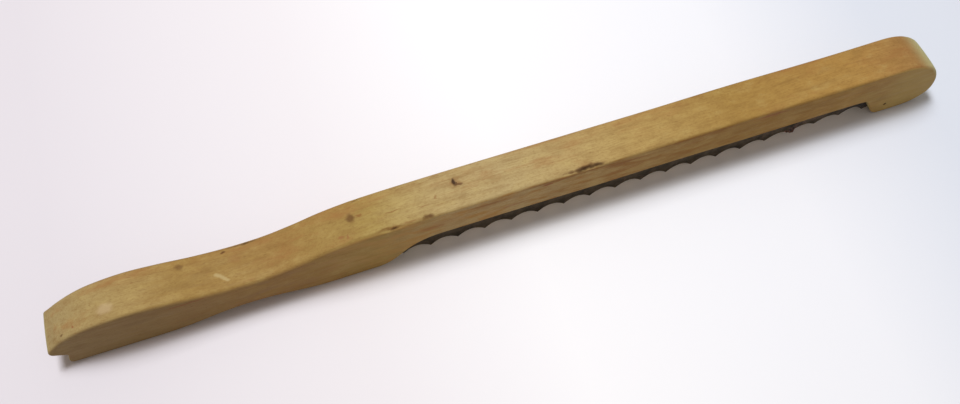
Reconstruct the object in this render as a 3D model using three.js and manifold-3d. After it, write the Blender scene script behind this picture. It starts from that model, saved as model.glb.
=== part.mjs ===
// A wooden bow bread knife: a handle, a spine and a foot sawn from one board, and a thin scalloped blade strung
// under the spine between two saw kerfs, with one wire pin through each end.
//
// Millimetres, +Z up. The knife stands on its cutting side: +X runs from the butt of the handle to the nose of the
// foot, +Y across the board away from the blade's side, and the origin is under the middle of the whole knife.
// Every outline below is drawn in "toe" coordinates: x from the toe of the butt, z from the table.

import * as THREE from "three";
import { mergeVertices } from "three/addons/utils/BufferGeometryUtils.js";
import Module from "manifold-3d";

// ---- driving dimensions ----

const LENGTH = 413; // toe of the butt to the nose of the foot
const BOARD = 20; // thickness of the board, along Y
const EDGE_ROUND = 1.5; // sanded edges all round the board
const EDGE_STEPS = 3;

const SPINE_BOTTOM = 14.8; // underside of the spine
const SPINE_TOP_BACK = 33.2; // top of the spine at the shoulder
const SPINE_TOP_FRONT = 34.4; // top of the spine at the nose
const ARCH_DEPTH = 4.6; // rise of the finger arch above the table
const NOSE_MIDDLE = 10; // height of the foremost point of the nose
const NOSE_UPPER = 27; // length of the nose's curve above that point
const NOSE_LOWER = 13; // and below it

const BLADE_HEIGHT = 12.7;
const BLADE_THICKNESS = 0.8;
const BLADE_BOTTOM = 0.2; // tooth points above the table
const BLADE_SETBACK = 3; // from the board's -Y face to the blade
const BLADE_START = 136;
const BLADE_END = 397;
const PITCH = 12.7; // one scallop
const FIRST_POINT = 137.5; // tooth point nearest to the blade's handle end
const SCALLOP_DEPTH = 3.9;
const WEAR_START = 322; // the edge is worn upwards from here
const WEAR_END = 380; // to here
const FRESH_START = 375; // the last tooth is partly kept by the foot
const FRESH_END = 384; // and from here on the strip is as wide as it was
const WEAR_POINTS = 4.7; // how far the worn tooth points have gone at the foot
const WEAR_GULLETS = 4; // and the hollows between them
const GULLET_LAG = 1.5; // the hollows start to wear later than the points

const PIN_RADIUS = 0.75;
const PIN_LENGTH = 15; // at the foot
const HANDLE_PIN_LENGTH = 18; // at the handle, driven in from the other side
const PIN_HEIGHT = 7;
const PIN_INSET = 0.3; // from the board's face to the pin's visible end
const HANDLE_PIN_X = 143.5;
const FOOT_PIN_X = 388;

const HANDLE_KERF_MOUTH = 165; // each kerf is cut this far, into the gap under the spine
const FOOT_KERF_MOUTH = 374;

const GAP = 0.3; // air between pieces that touch
const SMOOTH = 10; // straight pieces that stand for one curve
const LONG_SMOOTH = 44; // the same for the long curve over the handle
const ROUND_SIDES = 24; // flat sides of a pin or a drilled hole

// ---- materials ----

const wood = new THREE.MeshStandardMaterial({ color: 0xb0925c, roughness: 0.62, metalness: 0 });
const bladeSteel = new THREE.MeshStandardMaterial({ color: 0x2f2418, roughness: 0.55, metalness: 0.7 });
const pinSteel = new THREE.MeshStandardMaterial({ color: 0x3b2c1e, roughness: 0.6, metalness: 0.6 });

// ---- helpers ----

const wasm = await Module();
wasm.setup();

// A closed geometry as a solid for cutting.
function solidOf(geometry) {
  const bare = geometry.clone();
  bare.deleteAttribute("normal");
  bare.deleteAttribute("uv");
  const merged = mergeVertices(bare, 1e-4);
  return new wasm.Manifold(
    new wasm.Mesh({
      numProp: 3,
      vertProperties: merged.attributes.position.array,
      triVerts: new Uint32Array(merged.index.array),
    }),
  );
}

// A cut solid back as a geometry with flat faces.
function geometryOf(solid) {
  const mesh = solid.getMesh();
  const geometry = new THREE.BufferGeometry();
  geometry.setAttribute("position", new THREE.BufferAttribute(mesh.vertProperties, 3));
  geometry.setIndex(new THREE.BufferAttribute(mesh.triVerts, 1));
  const flat = geometry.toNonIndexed();
  flat.computeVertexNormals();
  return flat;
}

// An outline drawn in x and z, given a thickness along Y between yLow and yHigh. Its edges are rounded by "round".
function slab(outline, yLow, yHigh, round) {
  const geometry = new THREE.ExtrudeGeometry(outline, {
    depth: yHigh - yLow - 2 * round,
    steps: 1,
    curveSegments: SMOOTH,
    bevelEnabled: round > 0,
    bevelThickness: round,
    bevelSize: round,
    bevelOffset: -round,
    bevelSegments: EDGE_STEPS,
  });
  // Extruded along +Z: stood up, it runs towards -Y from yHigh.
  geometry.rotateX(Math.PI / 2);
  geometry.translate(0, yHigh - round, 0);
  return geometry;
}

function rod(x, z, yLow, yHigh, radius) {
  const geometry = new THREE.CylinderGeometry(radius, radius, yHigh - yLow, ROUND_SIDES);
  geometry.translate(x, (yLow + yHigh) / 2, z);
  return geometry;
}

function box(xLow, xHigh, yLow, yHigh, zLow, zHigh) {
  const geometry = new THREE.BoxGeometry(xHigh - xLow, yHigh - yLow, zHigh - zLow);
  geometry.translate((xLow + xHigh) / 2, (yLow + yHigh) / 2, (zLow + zHigh) / 2);
  return geometry;
}

// ---- places that several pieces share ----

const front = -BOARD / 2; // the board's face on the blade's side
const bladeLow = front + BLADE_SETBACK;
const bladeHigh = bladeLow + BLADE_THICKNESS;
const bladeTop = BLADE_BOTTOM + BLADE_HEIGHT;

// Each pin's place along the knife, and its ends along Y. The foot's pin goes in from the blade's side. The handle's
// pin goes in from the other side, and stops short of the blade's side.
const pins = {
  handle_pin: { x: HANDLE_PIN_X, low: -front - PIN_INSET - HANDLE_PIN_LENGTH, high: -front - PIN_INSET },
  foot_pin: { x: FOOT_PIN_X, low: front + PIN_INSET, high: front + PIN_INSET + PIN_LENGTH },
};

// ---- the bow ----

function bowOutline() {
  const outline = new THREE.Shape();

  // Hooked butt: the notch under the beak, and the rounded toe.
  outline.moveTo(6.4, 0);
  outline.quadraticCurveTo(3.5, 0, 4, 4.1);
  outline.lineTo(5.8, 8.7);
  outline.lineTo(1.4, 11.9);
  outline.quadraticCurveTo(-1.5, 13.8, 1.2, 16);

  // The palm swell, the dip behind it and the rise to the shoulder, in one smooth line.
  const back = new THREE.SplineCurve([
    new THREE.Vector2(1.2, 16),
    new THREE.Vector2(8, 21.3),
    new THREE.Vector2(16, 25.5),
    new THREE.Vector2(25, 28.1),
    new THREE.Vector2(38, 29.3),
    new THREE.Vector2(52, 27.9),
    new THREE.Vector2(66, 25.4),
    new THREE.Vector2(81, 24),
    new THREE.Vector2(95, 24.4),
    new THREE.Vector2(108, 27),
    new THREE.Vector2(120, 30.3),
    new THREE.Vector2(134, 32.5),
    new THREE.Vector2(150, SPINE_TOP_BACK),
  ]);
  back.getSpacedPoints(LONG_SMOOTH).slice(1).forEach((p) => outline.lineTo(p.x, p.y));

  // Spine, then the round nose.
  const noseRise = SPINE_TOP_FRONT - NOSE_MIDDLE;
  outline.absellipse(LENGTH - NOSE_UPPER, NOSE_MIDDLE, NOSE_UPPER, noseRise, Math.PI / 2, 0, true, 0);
  outline.absellipse(LENGTH - NOSE_LOWER, NOSE_MIDDLE, NOSE_LOWER, NOSE_MIDDLE, 0, -Math.PI / 2, true, 0);

  // Foot land, its rounded heel and the slanting wall up to the spine.
  outline.lineTo(387, 0);
  outline.quadraticCurveTo(384, 0, 382.4, 2.6);
  outline.lineTo(376.6, 12.4);
  outline.quadraticCurveTo(375.2, SPINE_BOTTOM, 372, SPINE_BOTTOM);

  // Underside of the spine, down the S of the shoulder to the shoulder land.
  outline.lineTo(168, SPINE_BOTTOM);
  outline.quadraticCurveTo(157, SPINE_BOTTOM, 149.4, 6.3);
  outline.quadraticCurveTo(144.2, 0.4, 138.2, 0);
  outline.lineTo(118, 0);

  // Finger arch, back to the butt.
  outline.bezierCurveTo(104, 0, 98, ARCH_DEPTH, 82, ARCH_DEPTH);
  outline.bezierCurveTo(66, ARCH_DEPTH, 60, 0, 44, 0);
  outline.closePath();
  return outline;
}

function makeBow() {
  let solid = solidOf(slab(bowOutline(), -BOARD / 2, BOARD / 2, EDGE_ROUND));

  // Kerfs, open below and towards the gap under the spine.
  const kerfs = [
    [BLADE_START - GAP, HANDLE_KERF_MOUTH],
    [FOOT_KERF_MOUTH, BLADE_END + GAP],
  ];
  for (const [xLow, xHigh] of kerfs) {
    const kerf = box(xLow, xHigh, bladeLow - GAP, bladeHigh + GAP, -1, bladeTop + GAP);
    solid = solid.subtract(solidOf(kerf));
  }

  // Blind cross holes for the pins, open on the side that the pin goes in from.
  const { handle_pin: handlePin, foot_pin: footPin } = pins;
  const holes = [
    rod(handlePin.x, PIN_HEIGHT, handlePin.low - GAP, -front + 1, PIN_RADIUS + GAP),
    rod(footPin.x, PIN_HEIGHT, front - 1, footPin.high + GAP, PIN_RADIUS + GAP),
  ];
  for (const hole of holes) {
    solid = solid.subtract(solidOf(hole));
  }
  return geometryOf(solid);
}

// ---- the blade ----

// How far the edge has worn at x, from 0 to 1. It grows towards the foot and stops inside the foot's kerf.
function wear(x) {
  const grown = THREE.MathUtils.clamp((x - WEAR_START) / (WEAR_END - WEAR_START), 0, 1);
  const kept = THREE.MathUtils.clamp((FRESH_END - x) / (FRESH_END - FRESH_START), 0, 1);
  return grown * kept;
}

function bladeOutline() {
  const outline = new THREE.Shape();
  outline.moveTo(BLADE_START, BLADE_BOTTOM);
  outline.lineTo(FIRST_POINT, BLADE_BOTTOM);

  // Scallops: a hollow arc from each tooth point to the next.
  let x = FIRST_POINT;
  while (x + PITCH < BLADE_END) {
    const next = x + PITCH;
    const middle = x + PITCH / 2;
    const nextPoint = BLADE_BOTTOM + WEAR_POINTS * wear(next);
    const gullet = BLADE_BOTTOM + SCALLOP_DEPTH + WEAR_GULLETS * wear(middle) ** GULLET_LAG;
    const point = BLADE_BOTTOM + WEAR_POINTS * wear(x);
    outline.quadraticCurveTo(middle, 2 * gullet - (point + nextPoint) / 2, next, nextPoint);
    x = next;
  }
  outline.lineTo(BLADE_END, BLADE_BOTTOM);
  outline.lineTo(BLADE_END, bladeTop);
  outline.lineTo(BLADE_START, bladeTop);
  outline.closePath();

  for (const pinX of [HANDLE_PIN_X, FOOT_PIN_X]) {
    const hole = new THREE.Path();
    hole.absarc(pinX, PIN_HEIGHT, PIN_RADIUS + GAP, 0, 2 * Math.PI, true);
    outline.holes.push(hole);
  }
  return outline;
}

// ---- the assembly ----

const knife = new THREE.Group();

function addPiece(name, geometry, material) {
  const mesh = new THREE.Mesh(geometry, material);
  mesh.name = name;
  knife.add(mesh);
}

addPiece("bow", makeBow(), wood);
addPiece("blade", slab(bladeOutline(), bladeLow, bladeHigh, 0), bladeSteel);
for (const [name, pin] of Object.entries(pins)) {
  addPiece(name, rod(pin.x, PIN_HEIGHT, pin.low, pin.high, PIN_RADIUS), pinSteel);
}

// The origin goes under the middle of the whole knife.
const bounds = new THREE.Box3().setFromObject(knife);
knife.position.x = -(bounds.min.x + bounds.max.x) / 2;

export default knife;
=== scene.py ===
# %% [markdown]
# # A wooden bow bread knife
#
# One sawn and hand-sanded board makes the handle, the spine and the foot. A thin scalloped blade is strung under the
# spine, and one cut-off wire pin holds it at each end. The knife stands on a pale table, blade side down.
#
# We start from the maker's plain solids, which give every dimension, and build the visible pieces round them:
# worn edges, small chips and dents, end grain on the nose, and steel that has gone brown.

import math

import bmesh
import bpy
import numpy as np
from mathutils import Matrix, Vector
from mathutils.geometry import delaunay_2d_cdt


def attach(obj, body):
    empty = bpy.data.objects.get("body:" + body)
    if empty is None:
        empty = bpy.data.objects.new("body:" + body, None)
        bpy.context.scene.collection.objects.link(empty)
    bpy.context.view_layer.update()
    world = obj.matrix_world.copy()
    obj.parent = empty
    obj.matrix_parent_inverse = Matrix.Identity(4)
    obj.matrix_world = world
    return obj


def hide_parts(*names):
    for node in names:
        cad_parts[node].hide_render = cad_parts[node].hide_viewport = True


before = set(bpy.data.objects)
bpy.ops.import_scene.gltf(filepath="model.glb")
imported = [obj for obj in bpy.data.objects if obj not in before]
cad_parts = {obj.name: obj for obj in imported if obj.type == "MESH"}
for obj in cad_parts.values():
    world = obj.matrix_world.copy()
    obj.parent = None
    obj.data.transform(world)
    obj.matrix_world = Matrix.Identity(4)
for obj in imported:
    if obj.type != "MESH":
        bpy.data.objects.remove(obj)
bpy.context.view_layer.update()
print("solids:", sorted(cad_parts))

# %% [markdown]
# ## Working in millimetres
#
# A maker thinks in millimetres, and Blender's unit is the metre. All shapes below are numbers in millimetres, and
# `to_object` turns them into a mesh in metres at the end. Points along the knife are counted from the toe of the
# butt, as they are on the maker's drawing, and `TOE` moves them to the middle of the table.

# %% Units, and a helper that makes an object
MM = 0.001
LENGTH = 413.0
TOE = -LENGTH / 2


def to_object(name, points, faces):
    """Points in millimetres and faces as index lists, as a new object."""
    mesh = bpy.data.meshes.new(name)
    mesh.from_pydata((np.asarray(points) * MM).tolist(), [], faces)
    mesh.validate()
    made = bpy.data.objects.new(name, mesh)
    bpy.context.scene.collection.objects.link(made)
    return made


def tell(made):
    """Prints what a piece came out as."""
    size = [round(v / MM, 1) for v in made.dimensions]
    print(f"{made.name}: {len(made.data.polygons)} faces, {size} mm")


# %% [markdown]
# ## The side outline of the bow
#
# The real bow is band-sawn from a board along a drawn line: a hooked butt, a swell for the palm, a dip, a shoulder, a
# straight spine and a round nose; then back along the underside, with a shallow arch for the fingers. We could trace
# it with a Bezier curve object, but a short list of arcs and straight runs is easier to read and to change. Each
# helper gives the points of one run, and the runs are joined end to end.

# %% Runs that an outline is made of
def bend(start, pull, end, steps=40):
    """A quadratic Bezier from start to end, pulled towards one handle."""
    t = np.linspace(0, 1, steps)[:, None]
    return (1 - t) ** 2 * np.array(start) + 2 * t * (1 - t) * np.array(pull) + t**2 * np.array(end)


def sweep(start, pull_a, pull_b, end, steps=60):
    """A cubic Bezier, with two handles."""
    t = np.linspace(0, 1, steps)[:, None]
    a, b, c, d = (np.array(p, float) for p in (start, pull_a, pull_b, end))
    return (1 - t) ** 3 * a + 3 * t * (1 - t) ** 2 * b + 3 * t**2 * (1 - t) * c + t**3 * d


def through(points, steps=24):
    """One smooth line through all the points."""
    p = np.array([points[0], *points, points[-1]], float)
    t = np.linspace(0, 1, steps, endpoint=False)[:, None]
    runs = []
    for a, b, c, d in zip(p, p[1:], p[2:], p[3:]):
        run = 2 * b + (c - a) * t + (2 * a - 5 * b + 4 * c - d) * t**2 + (3 * b - a - 3 * c + d) * t**3
        runs.append(run / 2)
    return np.vstack([*runs, p[-1:]])


def quarter(middle, radii, from_deg, to_deg, steps=40):
    """Part of an ellipse round its middle."""
    angle = np.radians(np.linspace(from_deg, to_deg, steps))
    return np.stack([middle[0] + radii[0] * np.cos(angle), middle[1] + radii[1] * np.sin(angle)], 1)


# %% The bow's outline
SPINE_UNDER = 14.8
SPINE_TOP_BACK = 33.2
SPINE_TOP_FRONT = 34.4
ARCH = 4.6

# Places on the handle's top line, from the beak of the butt to the start of the spine.
back_of_handle = [
    (1.2, 16), (8, 21.3), (16, 25.5), (25, 28.1), (38, 29.3), (52, 27.9), (66, 25.4), (81, 24), (95, 24.4),
    (108, 27), (120, 30.3), (134, 32.5), (150, SPINE_TOP_BACK),
]
drawn = np.vstack([
    bend((6, 0), (3.3, 0), (3.7, 2.6)),
    [(5.9, 8.8), (1.0, 12.1)],
    bend((1.0, 12.1), (-1.2, 13.6), (1.0, 16)),
    through(back_of_handle),
    quarter((LENGTH - 27, 10), (27, SPINE_TOP_FRONT - 10), 90, 0),
    quarter((LENGTH - 13, 10), (13, 10), 0, -90),
    bend((387, 0), (384, 0), (382.4, 2.6)),
    bend((376.6, 12.4), (375.2, SPINE_UNDER), (372, SPINE_UNDER)),
    bend((168, SPINE_UNDER), (157.0, SPINE_UNDER), (149.4, 6.3)),
    bend((149.4, 6.3), (144.2, 0.4), (138.2, 0)),
    sweep((118, 0), (104, 0), (98, ARCH), (82, ARCH)),
    sweep((82, ARCH), (66, ARCH), (60, 0), (44, 0)),
])

# %% [markdown]
# The runs above have many points in the bends and none on the straights. A worn edge and a chip need points
# everywhere, so the outline is walked once and given a point every 0.8 mm. Two passes of averaging take the hardness
# off the sawn corners, as sandpaper does.

# %% An even walk round the outline
OUTLINE_STEP = 0.8
CORNER_SANDING = 2


def even_walk(points, step):
    """A closed line with points at even distances."""
    closed = np.vstack([points, points[:1]])
    far = np.concatenate([[0], np.cumsum(np.linalg.norm(np.diff(closed, axis=0), axis=1))])
    keep = np.concatenate([[True], np.diff(far) > 1e-6])
    at = np.linspace(0, far[-1], int(far[-1] / step), endpoint=False)
    return np.stack([np.interp(at, far[keep], closed[keep, k]) for k in (0, 1)], 1)


def averaged(values, passes):
    """Each value becomes the mean of itself and its two neighbours, round a closed line."""
    for _ in range(passes):
        values = (np.roll(values, 1, 0) + values + np.roll(values, -1, 0)) / 3
    return values


outline = averaged(even_walk(drawn, OUTLINE_STEP), CORNER_SANDING)
print("outline:", len(outline), "points")

# %% [markdown]
# ## From outline to board
#
# A Solidify modifier would give the board its thickness, and a Bevel modifier would round its edges, but by the same
# amount everywhere. A handled knife wears unevenly: the far top edge has been rubbed round, the near one is crisper,
# and the palm has softened both. So each point of the outline gets its own two radii, and a ring of points is laid
# across the board there: up one rounded edge, over a slightly crowned top and down the other.
#
# The rounding has to be smaller than the tightest outside bend, or the ring points would cross each other. The
# outline's own curvature gives that limit.

# %% Directions and bends along the outline
HALF_BOARD = 10.0
PALM_MIDDLE, PALM_REACH = 78, 42
NOSE_FROM, NOSE_SPAN = 396, 12
BEAK_END = 9

ahead = np.roll(outline, -1, 0) - np.roll(outline, 1, 0)
ahead /= np.linalg.norm(ahead, axis=1)[:, None]
# The walk runs over the top from butt to nose, so the wood is on its right.
inward = averaged(np.stack([ahead[:, 1], -ahead[:, 0]], 1), 2)
inward /= np.linalg.norm(inward, axis=1)[:, None]

turned = np.cross(np.roll(ahead, 1, 0), np.roll(ahead, -1, 0))
sharpness = averaged(np.maximum(-turned, 0) / (2 * OUTLINE_STEP), 3)
# A little less than the bend's own radius, so that no two rings touch.
tightest = 0.85 / np.maximum(sharpness, 1e-3)

x, z = outline.T
# 1 where the board faces up, blended out over a few millimetres.
is_top = averaged((inward[:, 1] < -0.4).astype(float), 8)
at_nose = np.clip((x - NOSE_FROM) / NOSE_SPAN, 0, 1)
at_beak = np.clip(1 - x / BEAK_END, 0, 1)


def palm_share(place):
    """1 under the middle of the palm, fading to 0 on both sides."""
    return np.exp(-(((place - PALM_MIDDLE) / PALM_REACH) ** 2))


def hand_wear(seed, waves, amount):
    """A slow random rise and fall along the knife."""
    dice = np.random.default_rng(seed)
    total = sum(np.sin(x / dice.uniform(9, 34) + dice.uniform(0, 6.3)) for _ in range(waves))
    return amount * total / waves


in_palm = palm_share(x)
# A base radius, then what the top, the palm, the nose and the beak add or take away, then uneven wear.
near_round = 1.1 + 0.35 * is_top + 0.8 * in_palm + 0.8 * at_nose - 0.6 * at_beak + hand_wear(3, 5, 0.5)
far_round = 1.3 + 1.3 * is_top + 0.5 * in_palm + 0.9 * at_nose - 0.8 * at_beak + hand_wear(8, 5, 0.6)
near_round = averaged(np.minimum(near_round, tightest), 4)
far_round = averaged(np.minimum(far_round, tightest), 4)
print("edge radii, mm:", near_round.min().round(2), "to", far_round.max().round(2))

# %% [markdown]
# The flanks aren't quite flat either. The top of the butt was sanded thinner on the blade's side, while its foot
# kept the full width, and the palm was left a little fuller.

# %% Where the two flanks lie
BUTT_THINNED = 1.2
BUTT_NARROWED = 0.25
PALM_FULLNESS = 0.35


def near_flank(x, z):
    """The flank on the blade's side."""
    thinned = BUTT_THINNED * np.clip(1 - x / 32, 0, 1) ** 1.3 * np.clip((z - 12) / 8, 0, 1)
    return -HALF_BOARD + thinned - PALM_FULLNESS * palm_share(x)


def far_flank(x, z):
    """The other flank, which only narrows a touch at the butt."""
    return HALF_BOARD - BUTT_NARROWED * np.clip(1 - x / 40, 0, 1) + 0 * z


near_side, far_side = near_flank(x, z), far_flank(x, z)

# %% Rings of points across the board
EDGE_STEPS = 6
TOP_STEPS = 12
CROWN = 0.18


def ring_rows():
    """For every row across the board: how deep it lies below the outline, and its y."""
    rows = []
    for angle in np.linspace(0, math.pi / 2, EDGE_STEPS + 1)[:-1]:
        rows.append((near_round * (1 - math.sin(angle)) + CROWN, near_side + near_round * (1 - math.cos(angle))))
    for share in np.linspace(0, 1, TOP_STEPS + 1):
        start, end = near_side + near_round, far_side - far_round
        rows.append((np.full_like(x, CROWN * (2 * share - 1) ** 2), start + share * (end - start)))
    for angle in np.linspace(math.pi / 2, 0, EDGE_STEPS + 1)[1:]:
        rows.append((far_round * (1 - math.sin(angle)) + CROWN, far_side - far_round * (1 - math.cos(angle))))
    return rows


rows = ring_rows()
around = len(outline)
board = []
for depth, y in rows:
    flat = outline + inward * depth[:, None]
    board.append(np.stack([flat[:, 0], y, flat[:, 1]], 1))
board_points = np.vstack(board)
print("rings:", len(rows), "rows of", around, "points")

# %% Faces between the rings, and flanks that close them
FLANK_STEP = 3.0
RIM_MARGIN = 1.6


def flank_faces(row, first_free, surface, reverse):
    """Fills the last ring with triangles that also use a grid of points inside it."""
    rim = board[row][:, [0, 2]]
    low, high = rim.min(0), rim.max(0)
    grid = np.stack(np.meshgrid(*[np.arange(low[k], high[k], FLANK_STEP) for k in (0, 1)]), -1).reshape(-1, 2)
    near_rim = np.array([np.abs(rim - g).sum(1).min() < RIM_MARGIN for g in grid])
    grid = grid[~near_rim]
    loose = [Vector(p) for p in np.vstack([rim, grid])]
    edges = [(i, (i + 1) % around) for i in range(around)]
    points, _, faces, origin, _, _ = delaunay_2d_cdt(loose, edges, [list(range(around))], 1, 1e-5)
    number, added = {}, []
    used = sorted({v for face in faces for v in face})
    for v in used:
        source = min(origin[v]) if origin[v] else len(loose)
        if source < around:
            number[v] = row * around + source
        else:
            number[v] = first_free + len(added)
            added.append((points[v][0], float(surface(*points[v])), points[v][1]))
    made = [[number[v] for v in (reversed(face) if reverse else face)] for face in faces]
    return added, made


faces = []
for row in range(len(rows) - 1):
    for i in range(around):
        j = (i + 1) % around
        a, b = row * around, (row + 1) * around
        faces.append((a + i, b + i, b + j, a + j))
near_added, near_faces = flank_faces(0, len(board_points), near_flank, False)
far_added, far_faces = flank_faces(len(rows) - 1, len(board_points) + len(near_added), far_flank, True)
board_points = np.vstack([board_points, near_added, far_added])
faces += near_faces + far_faces
print("board:", len(board_points), "points,", len(faces), "faces")

# %% [markdown]
# ## Chips and dents
#
# Years in a drawer leave small damage where the board is weakest, along its top edges: splinters lifted along the
# grain, a nick, a bruise. Sculpting would do it by hand. Here each chip is a soft oval in which the surface is pushed
# into the wood. The oval is long along the grain, because beech splits that way.

# %% Press the damage into the board
NEAR_EDGE = (0, 0.7, -0.7)
FAR_EDGE = (0, -0.7, -0.7)
DOWN = (0, 0, -1)

# middle of the dent, its half-lengths along x, y and z, how deep, and which way
dents = [
    ((-61.5, -9.6, 32.6), (4.6, 1.6, 1.6), 0.75, NEAR_EDGE),
    ((-56.0, -9.8, 32.4), (2.6, 1.2, 1.2), 0.45, NEAR_EDGE),
    ((-44.5, -9.6, 33.0), (2.4, 1.7, 1.5), 0.7, NEAR_EDGE),
    ((19.0, -9.2, 33.4), (6.5, 1.8, 1.3), 0.45, NEAR_EDGE),
    ((28.5, -9.5, 33.3), (5.0, 1.8, 1.5), 0.85, NEAR_EDGE),
    ((9.2, -10.0, 30.4), (2.2, 1.0, 0.7), 0.3, (0, 1, 0)),
    ((115.0, -10.0, 31.2), (5.0, 1.2, 0.9), 0.3, (0, 1, 0)),
    ((-147.0, -9.8, 23.4), (7.0, 1.2, 0.8), 0.28, (0, 1, 0)),
    ((-71.0, 9.2, 32.2), (4.2, 1.6, 1.4), 0.6, FAR_EDGE),
    ((-54.0, 9.0, 33.2), (3.0, 1.5, 1.3), 0.5, FAR_EDGE),
    ((-122.0, 9.3, 24.1), (5.5, 1.4, 1.2), 0.5, FAR_EDGE),
    ((-28.4, 2.0, 33.4), (1.1, 1.8, 2.0), 0.5, DOWN),
    ((-74.4, 1.2, 32.3), (1.7, 1.7, 2.0), 0.35, DOWN),
    ((-128.8, 7.2, 24.2), (1.2, 0.9, 2.0), 0.35, DOWN),
    ((-79.4, -6.4, 31.6), (1.5, 1.5, 2.0), 0.2, DOWN),
]


def press(points, middle, halves, depth, way):
    """Pushes the points near the middle by up to depth, fading out at the oval's rim."""
    away = (points - np.array(middle)) / np.array(halves)
    share = np.clip(1 - (away**2).sum(1), 0, 1) ** 1.5
    return points + share[:, None] * depth * np.array(way)


placed = board_points + np.array([TOE, 0, 0])
for dent in dents:
    placed = press(placed, *dent)
bow = to_object("worn_bow", placed, faces)
tell(bow)

# %% [markdown]
# ## Saw kerfs and pin holes
#
# The blade's ends sit in two narrow saw cuts, and a wire is driven through each from the side. The cuts are real
# openings, so they are cut with the Boolean modifier: a thin plate for each kerf, a rod for each hole. The cutters
# are thrown away afterwards.

# %% Cut them
BLADE_Y = -6.6
BLADE_THICK = 0.8
BLADE_TOP = 12.9
BLADE_FROM, BLADE_TO = 136.0, 397.0
KERF_AIR = 0.12
SHOULDER_KERF_END, FOOT_KERF_START = 165, 374
KERF_END_AIR = 0.2
PIN_HEIGHT = 7.0
PIN_RADIUS = 0.75
HOLE_AIR = 0.07
# The foot's wire goes in from the blade's side and the handle's from the other side, so their holes open there.
PIN_PLACES = {"handle": 143.5, "foot": 388.0}
HOLE_ENDS = {"handle": (-8.5, 12.0), "foot": (-12.0, 5.5)}
WIRE_ENDS = {"handle": (-8.3, 9.65), "foot": (-9.75, 5.3)}


def cutter_plate(x_low, x_high):
    """A thin plate, as wide as the saw cut."""
    half = BLADE_THICK / 2 + KERF_AIR
    x_ends, y_ends, z_ends = (x_low, x_high), (BLADE_Y - half, BLADE_Y + half), (-2, BLADE_TOP + KERF_END_AIR)
    corners = [(a + TOE, b, c) for a in x_ends for b in y_ends for c in z_ends]
    sides = [(0, 1, 3, 2), (4, 6, 7, 5), (0, 4, 5, 1), (2, 3, 7, 6), (0, 2, 6, 4), (1, 5, 7, 3)]
    return to_object("kerf_cutter", corners, sides)


def rod_mesh(radius, y_low, y_high, middle_x, middle_z, sides=32, rounding=0.0):
    """Points and faces of a rod along Y, its ends slightly domed if rounding is above 0."""
    turns = np.linspace(0, 2 * math.pi, sides, endpoint=False)
    tip = radius - rounding
    rings = [(y_low, tip), (y_low + rounding, radius), (y_high - rounding, radius), (y_high, tip)]
    points = [(middle_x + r * math.cos(t), y, middle_z + r * math.sin(t)) for y, r in rings for t in turns]
    made = [tuple(reversed(range(sides))), tuple(range(3 * sides, 4 * sides))]
    for ring in range(3):
        for i in range(sides):
            j = (i + 1) % sides
            made.append((ring * sides + i, ring * sides + j, (ring + 1) * sides + j, (ring + 1) * sides + i))
    return points, made


def cut(piece, cutter):
    """Subtracts the cutter from the piece for good."""
    modifier = piece.modifiers.new("cut", "BOOLEAN")
    modifier.operation, modifier.object, modifier.solver = "DIFFERENCE", cutter, "EXACT"
    shaped = piece.evaluated_get(bpy.context.evaluated_depsgraph_get())
    result = bpy.data.meshes.new_from_object(shaped)
    piece.modifiers.clear()
    piece.data = result
    bpy.data.objects.remove(cutter)


def outward(piece):
    """Turns every face of a closed piece to look out."""
    shape = bmesh.new()
    shape.from_mesh(piece.data)
    bmesh.ops.recalc_face_normals(shape, faces=shape.faces)
    open_edges = sum(not e.is_manifold for e in shape.edges)
    shape.to_mesh(piece.data)
    shape.free()
    print(f"{piece.name}: {open_edges} open edges")


outward(bow)
cut(bow, cutter_plate(BLADE_FROM - KERF_END_AIR, SHOULDER_KERF_END))
cut(bow, cutter_plate(FOOT_KERF_START, BLADE_TO + KERF_END_AIR))


def drill(piece):
    """Cuts both pin holes."""
    for name, place in PIN_PLACES.items():
        hole = rod_mesh(PIN_RADIUS + HOLE_AIR, *HOLE_ENDS[name], place + TOE, PIN_HEIGHT)
        cutter = to_object("hole_cutter", *hole)
        outward(cutter)
        cut(piece, cutter)


drill(bow)
outward(bow)
tell(bow)

# %% [markdown]
# ## The blade
#
# The blade is a strip of spring steel, 12.7 mm high, with hollow scallops ground into its lower edge and pointed
# teeth between them. Near the foot the teeth are worn short. We could extrude a flat outline, but the grind would be
# missing: each scallop is also ground thin from the inner side. So the strip is built in upright columns. Every
# column knows how high its edge is, and its lowest inner points are drawn out towards the outer face to make the
# bevel.

# %% How high the cutting edge is at each place
PITCH = 12.7
FIRST_TOOTH = 137.5
TOOTH_LOW = 0.2
SCALLOP = 3.9
TOOTH_WEAR = 4.7
HOLLOW_WEAR = 4.0
COLUMN_STEP = 0.4
WEAR_FROM, WEAR_SPAN = 322, 58
KEPT_FROM, KEPT_SPAN = 384, 9


def wear_at(place):
    """0 where the blade is fresh, 1 where it is most worn. Inside the foot it has been kept."""
    return np.clip((place - WEAR_FROM) / WEAR_SPAN, 0, 1) * np.clip((KEPT_FROM - place) / KEPT_SPAN, 0, 1)


def edge_height(place):
    """Lower edge of the blade: a hollow arc between each two teeth."""
    number = np.floor((place - FIRST_TOOTH) / PITCH)
    start = FIRST_TOOTH + number * PITCH
    t = (place - start) / PITCH
    tooth_a = TOOTH_LOW + TOOTH_WEAR * wear_at(start)
    tooth_b = TOOTH_LOW + TOOTH_WEAR * wear_at(start + PITCH)
    hollow = TOOTH_LOW + SCALLOP + HOLLOW_WEAR * wear_at(start + PITCH / 2) ** 1.5
    height = tooth_a + (tooth_b - tooth_a) * t + (hollow - (tooth_a + tooth_b) / 2) * 4 * t * (1 - t)
    return np.where((number < 0) | (start + PITCH >= BLADE_TO), TOOTH_LOW, height)


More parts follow.
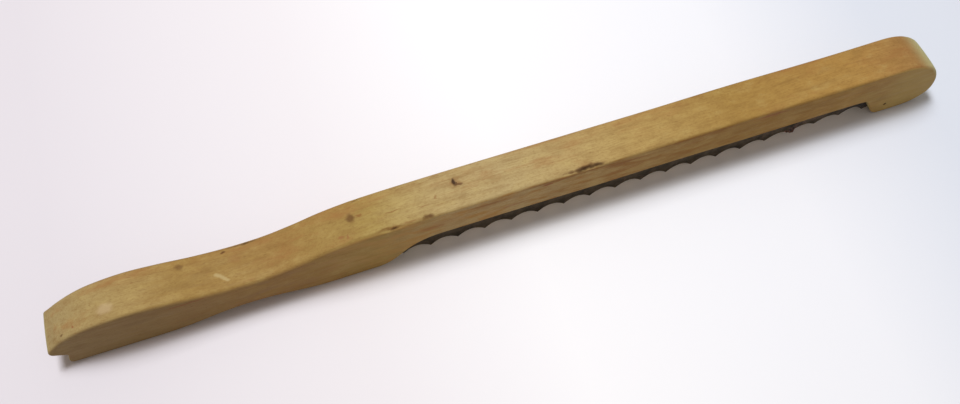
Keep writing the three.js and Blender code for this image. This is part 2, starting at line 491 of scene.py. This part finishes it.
# %% Columns of the blade
FREE_FROM, FREE_TO = 150, 380
NIBBLE = 0.12
BACK_EDGE = 0.1
GRIND_LINE = 9.5

places = np.arange(BLADE_FROM, BLADE_TO + COLUMN_STEP / 2, COLUMN_STEP)
low = edge_height(places)
dice = np.random.default_rng(21)
nibbles = np.interp(places, places[::3], dice.uniform(0, NIBBLE, len(places[::3])))
free = (places > FREE_FROM) & (places < FREE_TO)
low = low + nibbles * free

outer, inner = BLADE_Y - BLADE_THICK / 2, BLADE_Y + BLADE_THICK / 2
# The bevel is widest in the middle of each hollow, and the grind takes most of the thickness at its edge.
bevel = np.where(free, 1.5 + 0.35 * (low - TOOTH_LOW), 0.02)
ground = np.where(free, 0.65, 0.0)
level = np.full_like(low, 1.0)
outer_shares = (0.0, 0.12, 0.25, 0.4, 0.6, 0.8, 1.0)
rows_up = [(low + share * (BLADE_TOP - BACK_EDGE - low), outer * level) for share in outer_shares]
rows_up += [
    (BLADE_TOP * level, (outer + BACK_EDGE) * level),
    (BLADE_TOP * level, (inner - BACK_EDGE) * level),
    ((BLADE_TOP - BACK_EDGE) * level, inner * level),
    (GRIND_LINE * level, inner * level),
    (low + bevel + 0.25, inner * level),
    (low + bevel, inner * level - 0.01),
    (low + bevel * 0.5, inner - ground * 0.42),
    (low + 0.01, inner - ground),
]
columns = len(places)
blade_points = np.vstack([np.stack([places + TOE, y, height], 1) for height, y in rows_up])
blade_faces = []
count = len(rows_up)
for row in range(count):
    above = (row + 1) % count
    for i in range(columns - 1):
        blade_faces.append((row * columns + i, row * columns + i + 1, above * columns + i + 1, above * columns + i))
blade_faces.append([row * columns for row in range(count)])
blade_faces.append([row * columns + columns - 1 for row in reversed(range(count))])


# %% [markdown]
# Crumbs and damp have left a crust of rust on one worn tooth near the foot. It is a real lump, so the surface is
# raised there by a few overlapping small swellings.

# %% The crust on one tooth
CRUST_LUMPS = 14
crust_dice = np.random.default_rng(5)
for _ in range(CRUST_LUMPS):
    middle = (crust_dice.uniform(132.2, 136.2), outer - 0.3, crust_dice.uniform(1.8, 5.5))
    reach = crust_dice.uniform(0.8, 1.6)
    way = (0, -0.8, -0.6)
    blade_points = press(blade_points, middle, (reach, 1.4, reach), crust_dice.uniform(0.5, 1.0), way)
blade = to_object("strung_blade", blade_points, blade_faces)
outward(blade)
drill(blade)
outward(blade)
tell(blade)

# %% [markdown]
# ## The pins
#
# Each pin is a piece of wire, tapped in and nipped off level with the wood. A plain cylinder would have razor edges,
# and light would never catch it. The nippers leave a slightly domed end with a ridge across the middle; here each end
# is only rounded off a little, without the ridge.

# %% Two cut-off wires
pins = []
for name, place in PIN_PLACES.items():
    points, made_faces = rod_mesh(PIN_RADIUS, *WIRE_ENDS[name], place + TOE, PIN_HEIGHT, rounding=0.12)
    pin = to_object(f"{name}_wire", points, made_faces)
    outward(pin)
    pins.append(pin)
    tell(pin)

# %% [markdown]
# ## Smooth shading
#
# Small flat faces are hidden by smooth shading, but a sawn corner has to stay crisp. Blender marks the edges that
# turn more than a set angle as sharp.

# %% Shade the pieces
for piece, angle in [(bow, 38), (blade, 24), (pins[0], 40), (pins[1], 40)]:
    piece.data.shade_smooth()
    piece.data.set_sharp_from_angle(angle=math.radians(angle))

# %% [markdown]
# ## A small kit for materials
#
# A Blender material is a graph of nodes. Writing each link by hand is long, so `Graph` wraps the few calls that all
# the finishes need. Its `noise` takes one scale for each axis, in waves per metre: a low number along the grain and a
# high one across it stretches the noise into fibres.

class Graph:
    """The nodes of one material, with its main shader and the place on the piece."""

    def __init__(self, name):
        self.material = bpy.data.materials.new(name)
        self.material.use_nodes = True
        self.nodes = self.material.node_tree.nodes
        self.links = self.material.node_tree.links
        self.shader = self.nodes["Principled BSDF"]
        self.place = self.nodes.new("ShaderNodeTexCoord").outputs["Object"]

    def put(self, socket, value):
        """A link if value is a socket, or else a plain number or colour."""
        if isinstance(value, bpy.types.NodeSocket):
            self.links.new(value, socket)
        else:
            socket.default_value = value

    def stretched(self, scales, shift=(0, 0, 0), source=None):
        node = self.nodes.new("ShaderNodeMapping")
        node.inputs["Scale"].default_value = scales
        node.inputs["Location"].default_value = shift
        self.put(node.inputs["Vector"], source or self.place)
        return node.outputs[0]

    def noise(self, scales, shift=(0, 0, 0), detail=3.0, rough=0.55, source=None):
        node = self.nodes.new("ShaderNodeTexNoise")
        node.inputs["Scale"].default_value = 1
        node.inputs["Detail"].default_value = detail
        node.inputs["Roughness"].default_value = rough
        self.put(node.inputs["Vector"], self.stretched(scales, shift, source))
        return node.outputs["Fac"]

    def curve(self, value, low, high, to_low=0.0, to_high=1.0):
        """Maps low..high to to_low..to_high, softly."""
        node = self.nodes.new("ShaderNodeMapRange")
        node.interpolation_type = "SMOOTHSTEP"
        for socket, number in zip(node.inputs[1:5], (low, high, to_low, to_high)):
            socket.default_value = number
        self.put(node.inputs[0], value)
        return node.outputs[0]

    def math(self, kind, a, b=0.0):
        node = self.nodes.new("ShaderNodeMath")
        node.operation = kind
        self.put(node.inputs[0], a)
        self.put(node.inputs[1], b)
        return node.outputs[0]

    def mix(self, share, a, b):
        """Colour a where share is 0, colour b where it is 1."""
        node = self.nodes.new("ShaderNodeMix")
        node.data_type = "RGBA"
        self.put(node.inputs["Factor"], share)
        self.put(node.inputs["A"], a)
        self.put(node.inputs["B"], b)
        return node.outputs["Result"]

    def vector(self, kind, a, b=None):
        node = self.nodes.new("ShaderNodeVectorMath")
        node.operation = kind
        self.put(node.inputs[0], a)
        if b is not None:
            self.put(node.inputs[1], b)
        return node.outputs["Value" if kind == "LENGTH" else "Vector"]

    def moved(self, scales, reach, shift=(0, 0, 0)):
        """The place, pushed about by noise. The reach is in metres along each axis."""
        node = self.nodes.new("ShaderNodeTexNoise")
        node.inputs["Scale"].default_value = 1
        node.inputs["Detail"].default_value = 3
        self.put(node.inputs["Vector"], self.stretched(scales, shift))
        shake = self.vector("SUBTRACT", node.outputs["Color"], (0.5, 0.5, 0.5))
        return self.vector("ADD", self.place, self.vector("MULTIPLY", shake, reach))

    def axis(self, name):
        node = self.nodes.new("ShaderNodeSeparateXYZ")
        self.put(node.inputs[0], self.place)
        return node.outputs[name]

    def spot(self, middle, halves, warped, soft=0.55):
        """1 in the middle of an oval and 0 outside it, sizes in millimetres."""
        shifted = self.vector("SUBTRACT", warped, tuple(v * MM for v in middle))
        scaled = self.vector("DIVIDE", shifted, tuple(v * MM for v in halves))
        return self.curve(self.vector("LENGTH", scaled), soft, 1.0, 1.0, 0.0)

    def bump(self, height, strength, distance, below=None):
        node = self.nodes.new("ShaderNodeBump")
        node.inputs["Strength"].default_value = strength
        node.inputs["Distance"].default_value = distance
        self.put(node.inputs["Height"], height)
        if below is not None:
            self.put(node.inputs["Normal"], below)
        return node.outputs["Normal"]


def colour(red, green, blue):
    """A colour as it is read off a screen, 0 to 255, turned into the linear numbers that light uses."""
    share = [v / 255 for v in (red, green, blue)]
    linear = [v / 12.92 if v <= 0.04045 else ((v + 0.055) / 1.055) ** 2.4 for v in share]
    return (*linear, 1.0)


# %% [markdown]
# ## The wood
#
# The bow is a light hardwood, most likely beech, sanded and never varnished. It has three scales of colour: slow
# changes from board to board and from age, streaks along the grain, and the short dark flecks that beech is known
# for. All of them come from noise in the board's own space, so the same fibres run over the top, down the flank and
# into the nose, where they show as end grain. An image would stretch there.
#
# The handle has gone greyer from hands, and the far half is warmer.

# %% Base tones and grain
wood = Graph("sanded_beech")
# Grain is never ruled straight: it wanders a little on its way along the board.
grain_line = wood.moved((13, 40, 40), (0.0, 0.006, 0.006))
drift = wood.noise((14, 60, 60), detail=2)
streaks = wood.noise((20, 330, 330), (3, 1, 7), detail=4, rough=0.6, source=grain_line)
fibres = wood.noise((60, 1700, 1700), (1, 5, 2), detail=3, rough=0.6, source=grain_line)
mottle = wood.noise((120, 230, 230), (8, 3, 1), detail=4, rough=0.65)
speckle = wood.noise((800, 1100, 1100), (2, 8, 5), detail=2)
fine_lines = wood.noise((110, 4500, 4500), (6, 1, 9), detail=2, source=grain_line)


def ramp(graph, value, stops):
    """Colours at places along a value, blended between them."""
    node = graph.nodes.new("ShaderNodeValToRGB")
    graph.put(node.inputs[0], value)
    while len(node.color_ramp.elements) < len(stops):
        node.color_ramp.elements.new(0.5)
    for element, (place, shade) in zip(node.color_ramp.elements, stops):
        element.position, element.color = place, shade
    return node.outputs["Color"]


def along_knife(graph):
    """0 at the butt and 1 at the nose."""
    node = graph.nodes.new("ShaderNodeMapRange")
    node.inputs["From Min"].default_value = TOE * MM
    node.inputs["From Max"].default_value = -TOE * MM
    graph.put(node.inputs[0], graph.axis("X"))
    return node.outputs[0]


tone = ramp(wood, along_knife(wood), [
    (0.02, colour(159, 139, 96)), (0.14, colour(150, 121, 68)), (0.24, colour(148, 117, 67)),
    (0.34, colour(154, 130, 73)), (0.41, colour(170, 148, 102)), (0.48, colour(171, 150, 106)),
    (0.62, colour(168, 140, 86)),
    (0.74, colour(154, 122, 65)), (0.88, colour(162, 125, 67)), (0.97, colour(153, 115, 70)),
])
DARK_GRAIN = colour(120, 86, 44)
PALE_GRAIN = colour(178, 156, 100)
RED_STAIN = colour(144, 98, 56)

tone = wood.mix(wood.curve(drift, 0.5, 0.8, 0.0, 0.35), tone, PALE_GRAIN)
tone = wood.mix(wood.curve(streaks, 0.5, 0.78, 0.0, 0.4), tone, DARK_GRAIN)
tone = wood.mix(wood.curve(fibres, 0.5, 0.85, 0.0, 0.2), tone, DARK_GRAIN)
tone = wood.mix(wood.curve(fibres, 0.5, 0.2, 0.0, 0.12), tone, PALE_GRAIN)
tone = wood.mix(wood.curve(fine_lines, 0.45, 0.75, 0.0, 0.35), tone, DARK_GRAIN)
tone = wood.mix(wood.curve(mottle, 0.45, 0.75, 0.0, 0.35), tone, DARK_GRAIN)
tone = wood.mix(wood.curve(mottle, 0.5, 0.25, 0.0, 0.3), tone, PALE_GRAIN)
tone = wood.mix(wood.curve(speckle, 0.45, 0.75, 0.0, 0.25), tone, DARK_GRAIN)

# Reddish stains that follow the grain, most of them along the far edge.
blush = wood.noise((30, 130, 130), (7, 2, 4), detail=5, rough=0.65, source=grain_line)
tone = wood.mix(wood.curve(blush, 0.52, 0.72, 0.0, 0.5), tone, RED_STAIN)
far_blush = wood.math("MULTIPLY", wood.curve(wood.axis("Y"), 0.002, 0.009), wood.curve(blush, 0.4, 0.62, 0.0, 0.34))
tone = wood.mix(far_blush, tone, RED_STAIN)

# %% [markdown]
# The two flanks are the board's broad sawn faces. They are painted browner and darker than the top, in smears that
# follow the grain: painted shade and warm bounce light on the sides. The surface direction tells where a flank is:
# its
# Y part is near 1. The butt's flanks get this painted shade evenly, and the foot's flanks stay paler.

# %% The flanks' painted shade
facing = wood.nodes.new("ShaderNodeNewGeometry")
normal_parts = wood.nodes.new("ShaderNodeSeparateXYZ")
wood.put(normal_parts.inputs[0], facing.outputs["Normal"])
flank_share = wood.curve(wood.math("ABSOLUTE", normal_parts.outputs["Y"]), 0.5, 0.95)
# Where the flanks get painted shade: in smears along the grain, evenly at the butt, less at the foot.
flank_shade_smears = wood.noise((55, 210, 210), (5, 5, 1), detail=5, rough=0.65, source=grain_line)
pale_foot = wood.curve(wood.axis("X"), 0.16, 0.19, 0.0, 0.6)
even_butt = wood.curve(wood.axis("X"), -0.15, -0.1, 0.58, 0.0)
flank_shade_share = wood.math("MAXIMUM", wood.curve(flank_shade_smears, 0.43, 0.64, 0.12, 0.7), pale_foot)
flank_shade_share = wood.math("MAXIMUM", flank_shade_share, even_butt)
flank_shade_share = wood.math("MULTIPLY", flank_share, flank_shade_share)
# Painted shade: a browner, darker colour for the flanks, set along the knife.
flank_shade_tone = ramp(wood, along_knife(wood), [
    (0.1, colour(123, 100, 68)), (0.24, colour(138, 108, 72)), (0.34, colour(168, 130, 74)),
    (0.45, colour(156, 106, 40)), (0.6, colour(132, 84, 32)), (0.85, colour(134, 100, 46)),
    (0.94, colour(176, 152, 90)),
])
tone = wood.mix(flank_shade_share, tone, flank_shade_tone)

# %% [markdown]
# Beech flecks are the cut ends of its rays: dark dashes one to three millimetres long. A noise with a sharp threshold
# leaves only its peaks, and stretching it along the grain turns the peaks into dashes.

# %% Flecks
flecks = wood.noise((420, 2100, 1500), (4, 9, 2), detail=1)
fleck_mask = wood.curve(flecks, 0.66, 0.8)
tone = wood.mix(wood.math("MULTIPLY", fleck_mask, 0.4), tone, colour(100, 66, 36))

# %% [markdown]
# ## Knots, stains and scuffs
#
# Every used board has its own marks. Each is an oval at a set place, and its rim is broken up by moving the place
# about with noise before the distance is taken. One loop adds them all. Scuffs are rubbed bare, so their rims are
# smoother than those of stains, which run along the fibres.

# %% Marks on the wood
warped = wood.moved((420, 520, 520), (0.0024, 0.0015, 0.0012), (9, 1, 3))
NEARLY_BLACK = colour(58, 38, 24)
KNOT = colour(88, 54, 30)
STAIN = colour(126, 84, 44)
SCUFF = colour(190, 172, 126)
RED = colour(134, 80, 50)

# middle, half-lengths, colour, how strong
marks = [
    ((-28.5, 2.3, 33.3), (3.2, 3.4, 2.0), STAIN, 0.45),
    ((-28.7, 2.6, 33.3), (1.4, 2.8, 2.0), NEARLY_BLACK, 0.95),
    ((-26.9, 1.1, 33.3), (2.4, 0.8, 2.0), KNOT, 0.75),
    ((-74.3, 1.0, 32.3), (2.5, 2.7, 2.0), KNOT, 0.7),
    ((-70.6, 0.9, 32.3), (1.9, 0.8, 2.0), STAIN, 0.7),
    ((-80.0, -5.9, 31.6), (1.7, 1.0, 2.0), RED, 0.5),
    ((-77.4, -6.6, 31.8), (0.8, 1.5, 2.0), RED, 0.5),
    ((-128.8, 7.2, 24.2), (1.5, 0.7, 2.0), KNOT, 0.85),
    ((-146.8, 5.2, 26.5), (2.3, 1.9, 2.0), KNOT, 0.5),
    ((-124.5, 2.6, 24.3), (4.0, 3.0, 2.0), RED, 0.22),
    ((-177.2, -4.1, 28.7), (4.6, 3.0, 3.0), colour(198, 174, 142), 0.3),
    ((-197.2, -6.6, 22.1), (0.9, 0.8, 1.4), KNOT, 0.7),
    ((-191.5, -5.8, 25.1), (0.8, 0.7, 1.4), RED, 0.7),
    ((-61.0, -9.5, 32.6), (7.0, 1.5, 1.2), STAIN, 0.8),
    ((-60.5, -9.7, 32.5), (5.4, 1.1, 1.0), NEARLY_BLACK, 0.85),
    ((-51.0, -9.0, 33.2), (6.0, 0.8, 1.0), STAIN, 0.5),
    ((-43.6, -9.3, 33.0), (3.2, 1.7, 1.5), KNOT, 0.85),
    ((-57.0, -2.0, 33.0), (5.0, 0.35, 2.0), STAIN, 0.6),
    ((-44.0, -4.0, 33.0), (4.0, 0.3, 2.0), STAIN, 0.55),
    ((-38.0, -1.5, 33.2), (0.5, 1.6, 2.0), STAIN, 0.5),
    ((19.5, -9.0, 33.4), (6.0, 1.0, 0.9), KNOT, 0.75),
    ((27.5, -8.9, 33.4), (9.5, 1.6, 1.4), KNOT, 0.75),
    # The long strips at y -10 below darken the top of the near flank, just under its edge.
    ((24.0, -10.0, 31.4), (30.0, 1.5, 1.0), STAIN, 0.5),
    ((80.0, -10.0, 31.9), (30.0, 1.5, 1.0), STAIN, 0.45),
    ((28.0, -9.2, 33.3), (8.0, 1.6, 1.5), NEARLY_BLACK, 0.95),
    ((7.0, -9.9, 32.0), (13.0, 1.2, 0.9), STAIN, 0.5),
    ((9.2, -10.0, 30.4), (3.2, 1.5, 1.1), RED, 0.8),
    ((-18.0, -10.0, 29.0), (10.0, 1.5, 1.3), STAIN, 0.6),
    ((-43.0, -10.0, 23.0), (8.0, 1.5, 1.6), RED, 0.35),
    ((-6.0, -10.0, 21.5), (9.0, 1.5, 1.2), RED, 0.4),
    ((48.0, -10.0, 29.5), (16.0, 1.5, 1.1), STAIN, 0.6),
    ((115.0, -10.0, 31.2), (9.0, 1.5, 1.1), RED, 0.6),
    ((-147.0, -9.9, 23.4), (11.0, 1.5, 0.8), RED, 0.6),
    ((-71.0, 9.2, 32.2), (5.2, 1.4, 1.3), KNOT, 0.75),
    ((-54.0, 9.0, 33.2), (4.2, 1.4, 1.1), KNOT, 0.65),
    ((-120.5, 8.9, 24.0), (9.0, 1.2, 1.5), NEARLY_BLACK, 0.75),
]
for middle, halves, stain, strength in marks:
    mask = wood.spot(middle, halves, warped, soft=0.35)
    tone = wood.mix(wood.math("MULTIPLY", mask, strength), tone, stain)

rubbed = wood.moved((240, 300, 300), (0.001, 0.001, 0.001), (9, 1, 3))
for step in (-1.0, -0.5, 0.0, 0.5, 1.0):
    mask = wood.spot((-131.0 + 2.0 * step, -3.9 - 1.8 * step, 24.4), (1.5, 1.1, 2.0), rubbed, soft=0.2)
    tone = wood.mix(wood.math("MULTIPLY", mask, 0.45), tone, SCUFF)

# %% [markdown]
# ## End grain, grime and the surface itself
#
# Where the board turns across its fibres, at the nose and the butt, sawn pores drink light and the wood looks paler
# and slightly green-grey. There the X part of the surface direction is near 1 at the nose and near -1 at the butt.
# Hands have browned the butt, so less of it shows there.

# %% Finish the wood
nose_share = wood.curve(normal_parts.outputs["X"], 0.25, 0.75, 0.0, 0.85)
butt_share = wood.curve(wood.math("MULTIPLY", normal_parts.outputs["X"], -1.0), 0.6, 0.95, 0.0, 0.5)
end_share = wood.math("MAXIMUM", nose_share, butt_share)
pores = wood.noise((4600, 4600, 4600), (2, 2, 2), detail=3)
end_tone = wood.mix(wood.curve(pores, 0.4, 0.7), colour(193, 191, 138), colour(168, 162, 112))
tone = wood.mix(end_share, tone, end_tone)

grime = wood.noise((40, 90, 90), (6, 6, 6), detail=5, rough=0.65)
tone = wood.mix(wood.curve(grime, 0.5, 0.8, 0.0, 0.3), tone, colour(116, 90, 52))
wood.put(wood.shader.inputs["Base Color"], tone)

sheen_streak = wood.noise((30, 600, 600), (1, 1, 1), detail=3)
wood.put(wood.shader.inputs["Roughness"], wood.curve(sheen_streak, 0.3, 0.7, 0.48, 0.66))
wood.shader.inputs["Specular IOR Level"].default_value = 0.06

fibre_relief = wood.bump(fibres, 0.25, 0.0004)
wood_relief = wood.bump(streaks, 0.2, 0.0006, fibre_relief)
fleck_relief = wood.bump(wood.math("SUBTRACT", 1.0, fleck_mask), 0.2, 0.0002, wood_relief)
sanded = wood.noise((500, 500, 500), (3, 3, 3), detail=3)
wood.put(wood.shader.inputs["Normal"], wood.bump(sanded, 0.12, 0.0005, fleck_relief))
bow.data.materials.clear()
bow.data.materials.append(wood.material)

# %% [markdown]
# ## The steel
#
# Carbon steel that has cut bread for decades is brown-black, and where it stayed damp it has rusted. Under the patina
# it is still metal, so the Metallic value stays above a half and only the rust takes it down. Fine streaks from the
# grinding are a little brighter.

# %% Patina, rust and painted shade by the foot
steel = Graph("brown_steel")
cloud = steel.noise((160, 160, 160), detail=5, rough=0.65)
brushed = steel.noise((60, 3000, 1600), (2, 4, 1), detail=2)
rust_field = steel.noise((330, 330, 330), (5, 2, 9), detail=6, rough=0.7)
damp_end = steel.curve(steel.axis("X"), 0.085, 0.15, 0.0, 0.1)
rust = steel.curve(steel.math("ADD", rust_field, damp_end), 0.58, 0.7)
patina = steel.mix(steel.curve(cloud, 0.35, 0.7), colour(72, 60, 40), colour(42, 34, 22))
patina = steel.mix(steel.curve(brushed, 0.45, 0.75, 0.0, 0.4), patina, colour(84, 70, 46))
rust_colour = steel.mix(steel.curve(cloud, 0.4, 0.65), colour(94, 64, 38), colour(60, 42, 26))
steel_tone = steel.mix(rust, patina, rust_colour)
crust_place = steel.moved((500, 500, 500), (0.002, 0.002, 0.002))
crust_share = steel.spot((134.2, -7.0, 3.6), (4.2, 2.0, 3.4), crust_place)
crumbs = steel.noise((900, 900, 900), (3, 7, 1), detail=2)
crust_colour = steel.mix(steel.curve(crumbs, 0.46, 0.6), colour(36, 22, 14), colour(124, 76, 60))
steel_tone = steel.mix(steel.math("MULTIPLY", crust_share, 0.9), steel_tone, crust_colour)
# Painted shade: the steel goes almost black from a little before the foot onwards, where the kerf's corner lies in
# shade.
foot_corner_shade = steel.curve(steel.axis("X"), 0.155, 0.163, 0.0, 0.8)
steel_tone = steel.mix(foot_corner_shade, steel_tone, colour(34, 26, 16))
steel.put(steel.shader.inputs["Base Color"], steel_tone)
steel.put(steel.shader.inputs["Metallic"], steel.math("MULTIPLY", steel.math("SUBTRACT", 1.0, rust), 0.6))
steel.put(steel.shader.inputs["Roughness"], steel.curve(cloud, 0.3, 0.7, 0.45, 0.7))
steel_relief = steel.bump(rust, 0.5, 0.0003, steel.bump(cloud, 0.2, 0.0004))
steel.put(steel.shader.inputs["Normal"], steel.bump(brushed, 0.15, 0.0002, steel_relief))
blade.data.materials.clear()
blade.data.materials.append(steel.material)

# %% The pins' wire
wire = Graph("dark_wire")
tarnish = wire.noise((1400, 1400, 1400), detail=4)
wire_tone = wire.mix(wire.curve(tarnish, 0.35, 0.7), colour(48, 36, 28), colour(84, 60, 42))
wire.put(wire.shader.inputs["Base Color"], wire_tone)
wire.shader.inputs["Metallic"].default_value = 0.7
wire.put(wire.shader.inputs["Roughness"], wire.curve(tarnish, 0.3, 0.7, 0.4, 0.65))
wire.put(wire.shader.inputs["Normal"], wire.bump(tarnish, 0.3, 0.0002))
for pin in pins:
    pin.data.materials.clear()
    pin.data.materials.append(wire.material)

# %% [markdown]
# ## Which solid each piece stands for
#
# The maker's solids stay where they are, for fit and for physics. Each visible piece rides on the knife's only body
# and stands for one of them.

# %% Tie the pieces to the solids
for piece, node, slot in [
    (bow, "bow", "wood"),
    (blade, "blade", "blade_steel"),
    (pins[0], "handle_pin", "pin_steel"),
    (pins[1], "foot_pin", "pin_steel"),
]:
    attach(piece, "root")
    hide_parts(node)

# %% [markdown]
# ## Table and light
#
# The knife stands on a plain white table. The table is a big sheet, so that its rim is never seen, and its colour is
# painted greyer and tinted towards both sides, lightest in the middle: painted light falloff. The light is a pair of
# broad lamps high up, a little behind the knife and to the left, and a pale room that fills the shadows. Two lamps
# rather than one give the shadow its two soft steps.

# %% The table
TABLE_HALF = 4000
table_corners = [(a * TABLE_HALF, b * TABLE_HALF, 0) for a, b in ((-1, -1), (1, -1), (1, 1), (-1, 1))]
table = to_object("table", table_corners, [(0, 1, 2, 3)])
laminate = Graph("pale_table")
# Painted light falloff: the table's colour is greyer and tinted towards both ends of the knife, lightest in the
# middle.
laminate.put(laminate.shader.inputs["Base Color"], ramp(laminate, along_knife(laminate), [
    (0.0, colour(211, 205, 212)), (0.3, colour(223, 218, 223)), (0.5, colour(234, 232, 236)),
    (0.8, colour(229, 229, 236)), (1.0, colour(211, 215, 227)),
]))
laminate.shader.inputs["Roughness"].default_value = 0.75
laminate.shader.inputs["Specular IOR Level"].default_value = 0.1
table.data.materials.append(laminate.material)


# %% The lamps
def lamp(name, place, aim, width, depth, watts, tint):
    """A rectangular lamp that looks at a point. Sizes in metres."""
    data = bpy.data.lights.new(name, "AREA")
    data.shape, data.size, data.size_y = "RECTANGLE", width, depth
    data.energy, data.color = watts, tint
    made = bpy.data.objects.new(name, data)
    made.location = place
    made.rotation_euler = (Vector(aim) - Vector(place)).to_track_quat("-Z", "Y").to_euler()
    bpy.context.scene.collection.objects.link(made)
    return made


lamp("high_lamp", (-0.14, 0.17, 1.2), (0, 0, 0), 0.34, 0.24, 12.0, (0.945, 0.98, 1.0))
lamp("back_lamp", (-0.14, 0.40, 1.2), (0, 0, 0), 0.34, 0.17, 2.8, (0.945, 0.98, 1.0))

sky = bpy.data.worlds.new("pale_room")
sky.use_nodes = True
sky.node_tree.nodes["Background"].inputs["Color"].default_value = (1.0, 0.89, 0.76, 1.0)
sky.node_tree.nodes["Background"].inputs["Strength"].default_value = 0.35
bpy.context.scene.world = sky
bpy.context.scene.view_settings.view_transform = "Standard"

# %% [markdown]
# ## The camera
#
# It is hand-held, on the blade's side and above, a little left of the middle, and turned so that the knife runs
# corner to corner. A camera looks along its own -Z axis, so its three axes are written down as the columns of a
# matrix: right, up, and back towards the person who holds it.

# %% Place the camera
TURN = math.radians(-17.889)
LOOK_DOWN = math.radians(62.897)
TILT = math.radians(-0.97)
REACH = 397.61
AIM = Vector((-16.01, 6.37, 0.0))

towards = Vector((math.sin(TURN) * math.cos(LOOK_DOWN), -math.cos(TURN) * math.cos(LOOK_DOWN), math.sin(LOOK_DOWN)))
level_right = Vector((math.cos(TURN), math.sin(TURN), 0))
level_up = towards.cross(level_right)
right = level_right * math.cos(TILT) + level_up * math.sin(TILT)
up = level_up * math.cos(TILT) - level_right * math.sin(TILT)

camera_data = bpy.data.cameras.new("camera")
camera_data.lens = 32.516
camera_data.sensor_width = 36.0
camera_data.clip_start = 0.01
camera = bpy.data.objects.new("camera", camera_data)
spot = (AIM + towards * REACH) * MM
camera.matrix_world = Matrix.Translation(spot) @ Matrix((right, up, towards)).transposed().to_4x4()
bpy.context.scene.collection.objects.link(camera)
bpy.context.scene.camera = camera
print("camera stands at", [round(v / MM, 1) for v in spot], "mm")
